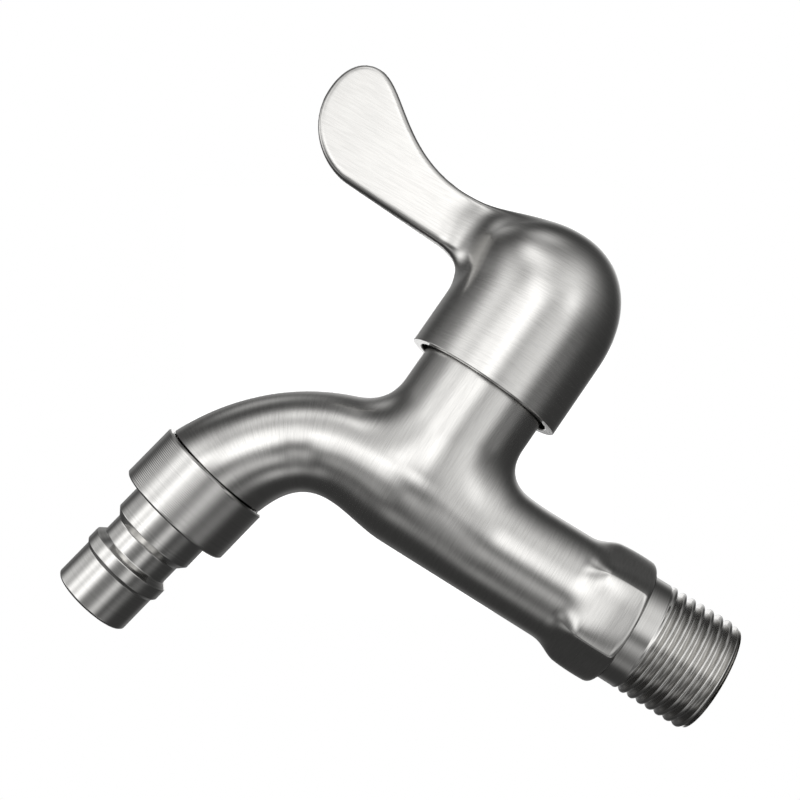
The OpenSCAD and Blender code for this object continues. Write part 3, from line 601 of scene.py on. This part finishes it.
def turned_line(corners):
    """Points (radius, length) of a turned outline and their normals, its corners rounded. Each
    corner is (radius, length, rounding); the metal lies to the left of the line."""
    points = [np.array(corner[:2], float) for corner in corners]
    lengths = [np.linalg.norm(b - a) for a, b in zip(points, points[1:])]
    ways = [(b - a) / length for a, b, length in zip(points, points[1:], lengths)]
    normals = [np.array((way[1], -way[0])) for way in ways]
    line = [(points[0], normals[0])]
    for n in range(1, len(points) - 1):
        a, b = ways[n - 1], ways[n]
        turn = math.acos(max(-1, min(1, float(a @ b))))
        cut = min(corners[n][2] * math.tan(turn / 2), 0.49 * lengths[n - 1], 0.49 * lengths[n])
        if cut < 1e-6:
            line += [(points[n], normals[n - 1]), (points[n], normals[n])]
            continue
        radius = cut / math.tan(turn / 2)
        side = 1 if a[0] * b[1] - a[1] * b[0] > 0 else -1
        centre = points[n] - a * cut - side * normals[n - 1] * radius
        for share in np.arange(arc_steps + 1) / arc_steps:
            normal = normals[n - 1] * math.sin((1 - share) * turn)
            normal = (normal + normals[n] * math.sin(share * turn)) / math.sin(turn)
            line.append((centre + side * normal * radius, normal))
    return line + [(points[-1], normals[-1])]


def turned(name, line, foot, along, sides=192):
    """A turned piece from its outline, about the line through foot along a direction."""
    along = np.array(along, float)
    across = np.array((0.0, 1.0, 0.0))
    up = np.cross(along, across)
    angle = np.linspace(0, 2 * math.pi, sides, endpoint=False)
    round_dir = np.cos(angle)[:, None] * up + np.sin(angle)[:, None] * across
    rows = [
        (foot + along * point[1] + round_dir * point[0], along * normal[1] + round_dir * normal[0])
        for point, normal in line
    ]
    return rows_skin(name, rows)


def hexagon_r(x, angle):
    """Radius of the cast end: the barrel swells into a hexagon, sooner at its corners."""
    sector = (angle - hex_turn + math.pi / 6) % (math.pi / 3) - math.pi / 6
    corner = (1 - np.cos(6 * sector)) / 2
    swell = ease((x - hex_blend_x) / (hex_back_x - hex_blend_x))
    slow_swell = ease((x - hex_blend_x) / (hex_flat_x - hex_blend_x))
    middle = (hex_back_x + hex_face_x) / 2
    crown = hex_crown * ((x - middle) / (hex_face_x - middle)) ** 2
    past = np.clip(x - (hex_face_x - hex_rounding), 0, hex_rounding - 0.01)
    brushed_off = hex_rounding - np.sqrt(hex_rounding ** 2 - past ** 2)
    outline = soft_least(
        hex_corner_r - crown - brushed_off, hex_flat / np.cos(sector), hex_edge_blend
    )
    return barrel_r + (outline - barrel_r) * (corner * swell + (1 - corner) * slow_swell)


def thread_r(x, angle):
    """Radius of the pipe thread: one ridge wound round, running out at both ends."""
    turn = (x / thread_pitch - angle / (2 * math.pi)) % 1
    slope = np.abs(turn - 0.5) * 2
    ridge = np.clip((slope - thread_flat) / (1 - 2 * thread_flat), 0, 1)
    ridge = ridge - thread_rounding * np.sin(2 * math.pi * ridge)
    run_out = ease((x - run_out_x) / run_out_len)
    cut = thread_depth * (1 - ridge) * run_out
    crest = thread_crest_r - (thread_crest_r - shoulder_r) * (1 - run_out)
    lead = thread_crest_r - np.maximum(x - (thread_len - lead_len), 0) * lead_fall
    return soft_least(crest - cut, lead, lead_blend)


def wound_skin(name, x, radius, sides):
    """The skin of a form whose radius depends on the place along the inlet and the angle."""
    angle = np.linspace(0, 2 * math.pi, sides, endpoint=False)
    grid_x, grid_a = np.meshgrid(x, angle, indexing="ij")
    r = radius(grid_x, grid_a)
    dx = np.gradient(r, x, axis=0)
    da = (np.roll(r, -1, 1) - np.roll(r, 1, 1)) / (2 * (angle[1] - angle[0]))
    out = np.stack((0 * r, np.sin(grid_a), np.cos(grid_a)), -1)
    round_way = np.stack((0 * r, np.cos(grid_a), -np.sin(grid_a)), -1)
    normal = out - round_way * (da / r)[..., None]
    normal[..., 0] -= dx
    normal /= np.linalg.norm(normal, axis=-1)[..., None]
    points = out * r[..., None]
    points[..., 0] = grid_x
    return rows_skin(name, list(zip(points, normal)))


hexagon = wound_skin(
    "inlet_hexagon", np.arange(hex_skin_x, hex_face_x + 0.01, hex_step), hexagon_r, hex_sides
)
shoulder = turned(
    "inlet_shoulder",
    turned_line((
        (shoulder_seat_r, hair, 0), (shoulder_r, hair, 0.1), (shoulder_r, shoulder_len, 0),
    )),
    np.array((hex_face_x - hair, 0, 0)), inlet_way,
)
thread = wound_skin(
    "inlet_thread_skin", np.arange(thread_skin_x, thread_len + 0.01, thread_step), thread_r,
    thread_sides,
)
bore = turned(
    "inlet_bore",
    turned_line((
        (lead_r, thread_len, 0), (inlet_bore_r, thread_len, 0.4), (inlet_bore_r, inlet_bore_x, 0),
        (seat_port_r, inlet_bore_x, 0), (seat_port_r, seat_port_x, 0), (0.01, seat_port_x, 0),
    )),
    np.zeros(3), inlet_way,
)


def lathe_streaks(pitch, along):
    """The tool's rings: noise that runs only along the piece's own axis."""
    def streaks(make, place):
        run = make.node(
            "ShaderNodeVectorMath", {"operation": "DOT_PRODUCT"}, {0: place, 1: along}, "Value"
        )
        return make.node(
            "ShaderNodeTexNoise", {"noise_dimensions": "1D"},
            {"W": run, "Scale": mm_per_m / pitch, "Detail": 2.0},
        ), 0.0
    return streaks


inlet_turned = satin(
    "inlet_turned", lathe_streaks(0.35, inlet_way), steel_tint,
    rough=0.12, scratch_h=3e-6, ripple_h=4e-5,
)
hexagon.data.materials.append(body_satin)
for piece in (shoulder, thread, bore):
    piece.data.materials.append(inlet_turned)
for piece in (hexagon, shoulder, thread, bore):
    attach(piece, "tap")
    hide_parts("tap_body")


# Spout end of the casting: a flat face, then a threaded boss that the nut hides, and the
# waterway's bend behind it.
boss_len = 6.0
boss_r = 9.3
boss_bore_r = 6.1
boss_bore_top = -1
spout_bore_r = 5.8
bend_r = 21.0
spout_end = turned(
    "spout_end",
    turned_line((
        (spout_end_r - 0.5, -nut_gap - 0.3, 0), (spout_end_r - 0.03, -nut_gap - 0.02, 0.12),
        (boss_r, -nut_gap, 0), (boss_r, boss_len, 0.3), (boss_bore_r, boss_len, 0.3),
        (boss_bore_r, boss_bore_top, 0),
    )),
    outlet_centre, outlet_down,
)
bend_turn = math.pi / 2 - outlet_tilt
bend_middle = outlet_centre + bend_r * np.array((math.cos(outlet_tilt), 0, -math.sin(outlet_tilt)))
ring = np.linspace(0, 2 * math.pi, 64, endpoint=False)
bend_rows = []
for step in np.linspace(0, 1, 25):
    lean = math.pi - outlet_tilt - bend_turn * step
    outwards = np.array((math.cos(lean), 0, math.sin(lean)))
    normal = np.cos(ring)[:, None] * outwards + np.sin(ring)[:, None] * np.array((0, 1, 0))
    bend_rows.append((bend_middle + outwards * bend_r + normal * spout_bore_r, -normal))
bend = rows_skin("spout_waterway", bend_rows)
for piece in (spout_end, bend):
    piece.data.materials.append(inlet_turned)
    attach(piece, "tap")
    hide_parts("tap_body")


# Nozzle washer. Black rubber, stamped from sheet, squeezed between the boss and the nipple's
# flange. Its solid has its real shape, so it only gets its finish.
mottles_per_m = 420


def moulded(name, dark, pale, rough, grit, relief):
    """Rubber, plastic or fired ceramic: mottled between two tones, with a fine grit on it."""
    material, make = finish_start(name)
    place = make.node("ShaderNodeTexCoord", output="Object")
    mottle = grain(make, place, (mottles_per_m,) * 3, 2.0)
    specks = grain(make, place, (grit,) * 3, 2.0)
    colour = make.node(
        "ShaderNodeValToRGB", {"stops": ((0.35, [*dark, 1]), (0.65, [*pale, 1]))}, {"Fac": mottle}
    )
    normal = make.node("ShaderNodeBump", (), {"Height": specks, "Distance": relief})
    principled(make, {
        "Base Color": colour, "Roughness": rough - 0.05 + 0.1 * specks, "Normal": normal,
    })
    return material


def finished(finish, *nodes):
    """Gives a finish to pieces whose solids already have their real shape."""
    for node in nodes:
        for slot in bpy.data.objects[node].material_slots:
            slot.material = finish


black_rubber = moulded(
    "black_rubber", (0.013, 0.013, 0.014), (0.024, 0.023, 0.023),
    rough=0.58, grit=5200, relief=8e-6,
)
finished(black_rubber, "nozzle_washer")


# Spout nut. A steel ring turned on the lathe, with the tool's fine rings left round it. It screws
# on the boss and clamps the nipple's flange.
nut_r = 11.6
nut_len = 11.0
nut_mouth_r = 10.5
nut_edge = 0.6
nut_bevel = 0.28
nut_foot_bevel = 0.35
nut_lip_r = 8.45
nut_lip_len = 2
nut_ring_pitch = 0.33
nut_ring_depth = 0.012
nut_line = turned_line((
    (nut_mouth_r, nut_gap, 0), (nut_mouth_r + 0.2, 0, 0.1), (nut_r - nut_bevel, 0, 0.12),
    (nut_r, nut_bevel, 0.12), (nut_r, nut_edge, 0),
))
for place in np.arange(nut_edge, nut_len - nut_edge, nut_ring_pitch / 10):
    wave = 2 * math.pi * (place - nut_edge) / nut_ring_pitch
    slope = -math.sin(wave) * math.pi * nut_ring_depth / nut_ring_pitch
    facing = np.array((1, slope)) / math.hypot(1, slope)
    ring_r = nut_r - nut_ring_depth * (1 - math.cos(wave)) / 2
    nut_line.append((np.array((ring_r, place)), facing))
nut_line += turned_line((
    (nut_r, nut_len - nut_edge, 0), (nut_r, nut_len - nut_foot_bevel, 0.15),
    (nut_r - nut_foot_bevel, nut_len, 0.15), (nut_lip_r, nut_len, 0.2),
    (nut_lip_r, nut_len - nut_lip_len, 0),
))
nut = turned("spout_nut_ring", nut_line, outlet_centre, outlet_down, 256)
outlet_tint = (0.66, 0.652, 0.635)
outlet_turned = satin(
    "outlet_turned", lathe_streaks(0.3, tuple(outlet_down)), outlet_tint,
    rough=0.11, scratch_h=3e-6, ripple_h=3e-5,
)
nut.data.materials.append(outlet_turned)
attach(nut, "tap")
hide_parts("spout_nut")


# Hose nipple. Turned from bar in one piece: first section, waist and rib for a push-on
# connector's claws, and a plain end. Its flange sits behind the nut's lip.
nipple_r = 8.35
nipple_hidden_h = 9.0
nipple_flange_r = 9.1
nipple_flange_h = 7.6
waist_r = 7.15
waist_from, waist_to = 17.7, 21.1
waist_slope = 1.4
rib_from, rib_to = 22.15, 24.35
rib_slope = 0.7
nipple_end_r = 7.775
nipple_len = 32.55
nipple_bevel = 0.35
nipple_bore_r = 5.5
nipple_line = turned_line((
    (nipple_r, nipple_hidden_h, 0), (nipple_r, waist_from - waist_slope, 0.25),
    (waist_r, waist_from, 0.35),
    (waist_r, waist_to, 0.25), (nipple_r, rib_from, 0.2), (nipple_r, rib_to, 0.15),
    (nipple_end_r, rib_to + rib_slope, 0.12), (nipple_end_r, nipple_len - nipple_bevel, 0.2),
    (nipple_end_r - nipple_bevel, nipple_len, 0.15), (nipple_bore_r + 0.2, nipple_len, 0.15),
    (nipple_bore_r, nipple_len - 0.2, 0.15), (nipple_bore_r, nipple_flange_h, 0),
    (nipple_flange_r, nipple_flange_h, 0),
))
nipple = turned("nipple_turning", nipple_line, outlet_centre, outlet_down, 256)
nipple.data.materials.append(outlet_turned)
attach(nipple, "tap")
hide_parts("hose_nipple")


# Valve seat. A rubber seal lies in the housing's foot, held in shape by a hard plastic ring, and
# the cartridge presses it on the bored seat of the body.
white_plastic = moulded(
    "white_plastic", (0.72, 0.72, 0.68), (0.80, 0.80, 0.77), rough=0.38, grit=3000, relief=3e-6
)
finished(black_rubber, "seat_seal")
finished(white_plastic, "seal_ring")


# Ceramic discs. Pressed and fired alumina, lapped on the faces that slide: the lower one is held
# by the housing, and the upper one turns with the spindle's tongue.
fired_alumina = moulded(
    "fired_alumina", (0.83, 0.82, 0.77), (0.88, 0.87, 0.83), rough=0.24, grit=6500, relief=2e-6
)
finished(fired_alumina, "fixed_disc", "moving_disc")


# Spindle. Turned from brass bar, with the tongue, stop flange and splined head cut on it. A hard
# plastic washer takes its thrust, two rubber rings seal it, and a spring clip keeps it in.
brass_tint = (0.76, 0.53, 0.24)
spring_tint = (0.5, 0.49, 0.48)
neck_way = tuple(neck_up)
turned_brass = satin(
    "turned_brass", lathe_streaks(0.28, neck_way), brass_tint,
    rough=0.24, scratch_h=4e-6, ripple_h=3e-5,
)
spring_steel = satin(
    "spring_steel", lathe_streaks(0.2, neck_way), spring_tint,
    rough=0.3, scratch_h=2e-6, ripple_h=2e-5,
)
finished(white_plastic, "thrust_washer")
finished(turned_brass, "spindle")
finished(black_rubber, "lower_spindle_seal", "upper_spindle_seal")
finished(spring_steel, "spindle_clip")


# Cartridge housing. Turned from brass hexagon bar, with a pipe thread into the neck and a lug
# that stops the spindle at each end of its turn. A rubber gasket seals under its hexagon.
finished(turned_brass, "cartridge_housing")
finished(black_rubber, "housing_gasket")


# Handle. Cap and lever are one steel casting, satin brushed round the cap and along the lever.
# It sits on the spindle's spline, and the grub screw from the back holds it.
cap_r = 15.5
cap_rim = 23.4
cap_wall = 1.8
cap_roof = 48.15
cap_roof_r = 11.3
cap_roof_edge = (11.9, 46.5, 1.5)
hub_r = 6.8
hub_bore_r = 4.2
hub_bore_h = 46
hub_foot = 40.45
dome_base = 38.0
dome_top = 57.0
dome_power = 2.2
nose_stretch = 0.2
nose_rise = 12.0
lever_fillet = 6.0
lever_edge = 1.0
lever_tip_half_t = 1.3
lever_thickening = 1.0
lever_tip = (-103.013, 57)
lever_crest = (-96.613, 65.5)
lever_belly = (-90.813, 43.4)
root_top = (-67.6, 52.9)
root_low = (-67.6, 42.0)
in_dome_top = (-50.5, 53)
in_dome_low = ((-50.5, 48.0), (-56, 42.0))
grub_h = 45.2
grub_hole_r = 2.05
grub_hole_from, grub_hole_to = 8, 18
handle_low = np.array((-104.6, -16.65, 22.5))
handle_high = np.array((-32, 16.65, 67))
lever_outline = np.concatenate((
    bezier((lever_tip, (-103.013, 62), (-100.813, 65.5), lever_crest), np.linspace(0, 1, 24)),
    bezier((lever_crest, (-90.213, 65.5), (-83.8, 52.2), root_top), np.linspace(0.04, 1, 40)),
    bezier((root_top, (-62, 53.2), (-56, 55.2), in_dome_top), np.linspace(0.1, 1, 12)),
    np.array(in_dome_low),
    bezier((root_low, (-75.3, 42.5), (-83.1, 42.9), lever_belly), np.linspace(0, 1, 20)),
    bezier((lever_belly, (-96.813, 44.0), (-103.013, 49.6), lever_tip), np.linspace(0.04, 0.96, 36)),
))


def outline_distance(outline, x, z):
    """Distance from points of the plane to a closed outline, negative inside it."""
    nearest = np.full(np.broadcast(x, z).shape, 1e9)
    winding = np.zeros(nearest.shape, bool)
    for a, b in zip(outline, np.roll(outline, -1, axis=0)):
        way = b - a
        share = np.clip(((x - a[0]) * way[0] + (z - a[1]) * way[1]) / (way @ way), 0, 1)
        gap = np.hypot(x - a[0] - share * way[0], z - a[1] - share * way[1])
        nearest = np.minimum(nearest, gap)
        crosses = ((a[1] > z) != (b[1] > z)) & (
            x < a[0] + (z - a[1]) * way[0] / (way[1] if way[1] else 1e-9)
        )
        winding ^= crosses
    return np.where(winding, -nearest, nearest)


def handle_field(x, y, z, cell):
    """Below zero inside cap and lever, and about the distance from them outside."""
    height, from_axis = by_neck(x, y, z)
    rise = np.maximum(height - dome_base, 0)
    lean = 1 + nose_stretch * ease((height - dome_base) / nose_rise)
    forward = np.minimum(x - neck_foot[0] - height * neck_up[0], 0)
    radial = np.sqrt(from_axis ** 2 + forward ** 2 * (1 / lean ** 2 - 1))
    round_part = (radial / cap_r) ** dome_power
    high_part = (rise / (dome_top - dome_base)) ** dome_power
    size = (round_part + high_part + 1e-9) ** (1 / dome_power)
    dome = np.hypot(radial, rise) * (1 - 1 / size)
    flat_x, flat_z = np.broadcast_arrays(x[:, 0], z[0])
    edge = outline_distance(lever_outline, flat_x, flat_z)[:, None]
    along = np.clip((x - lever_tip[0]) / (root_top[0] - lever_tip[0]), 0, 1)
    side = np.abs(y) - (lever_tip_half_t + lever_thickening * along)
    lever = np.minimum(np.maximum(edge, side), -lever_edge) + np.hypot(
        np.maximum(edge + lever_edge, 0), np.maximum(side + lever_edge, 0)
    )
    return rolled_union(dome, lever, lever_fillet, cell)


grub_way = np.array((math.cos(neck_lean), 0, -math.sin(neck_lean)))
grub_drill = turned(
    "grub_drill",
    turned_line((
        (0.01, grub_hole_from, 0), (grub_hole_r, grub_hole_from, 0),
        (grub_hole_r, grub_hole_to, 0), (0.01, grub_hole_to, 0),
    )),
    neck_foot + neck_up * grub_h, grub_way, 48,
)
handle = cast_skin(
    "handle_casting", handle_field, handle_low, handle_high, skin_cell,
    cuts=((neck_foot + neck_up * (cap_rim + 0.25), -neck_up),), holes=(grub_drill,),
)
cavity_r = cap_r - cap_wall
cavity_line = turned_line((
    (hub_bore_r, hub_bore_h, 0), (hub_bore_r, hub_foot, 0.1), (hub_r, hub_foot, 0.3),
    (hub_r, cap_roof, 0.5), (cap_roof_r, cap_roof, 0.8), cap_roof_edge,
    (cavity_r, dome_base, 3), (cavity_r, cap_rim, 0.2), (cap_r, cap_rim, 0.22),
    (cap_r, cap_rim + 0.3, 0),
))
cavity = turned("cap_inside", cavity_line, neck_foot, neck_up)
cap_brushing = (280, 280, 4200)


def cap_streaks(make, place):
    """Brushing round the cap, square to its axis, and along the lever."""
    return grain(make, place, cap_brushing), 0.0


cap_satin = satin(
    "cap_satin", cap_streaks, steel_tint, rough=0.18, scratch_h=6e-6, ripple_h=1.0e-4
)
for piece in (handle, cavity):
    piece.data.materials.append(cap_satin)
    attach(piece, "handle")
    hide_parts("handle")


# Set screw. Stainless, with a hexagon socket, run in from the back of the cap until its cup point
# bites the spindle's spline.
screw_tint = (0.46, 0.45, 0.44)
screw_steel = satin(
    "screw_steel", lathe_streaks(0.25, tuple(grub_way)), screw_tint,
    rough=0.3, scratch_h=3e-6, ripple_h=2e-5,
)
finished(screw_steel, "set_screw")
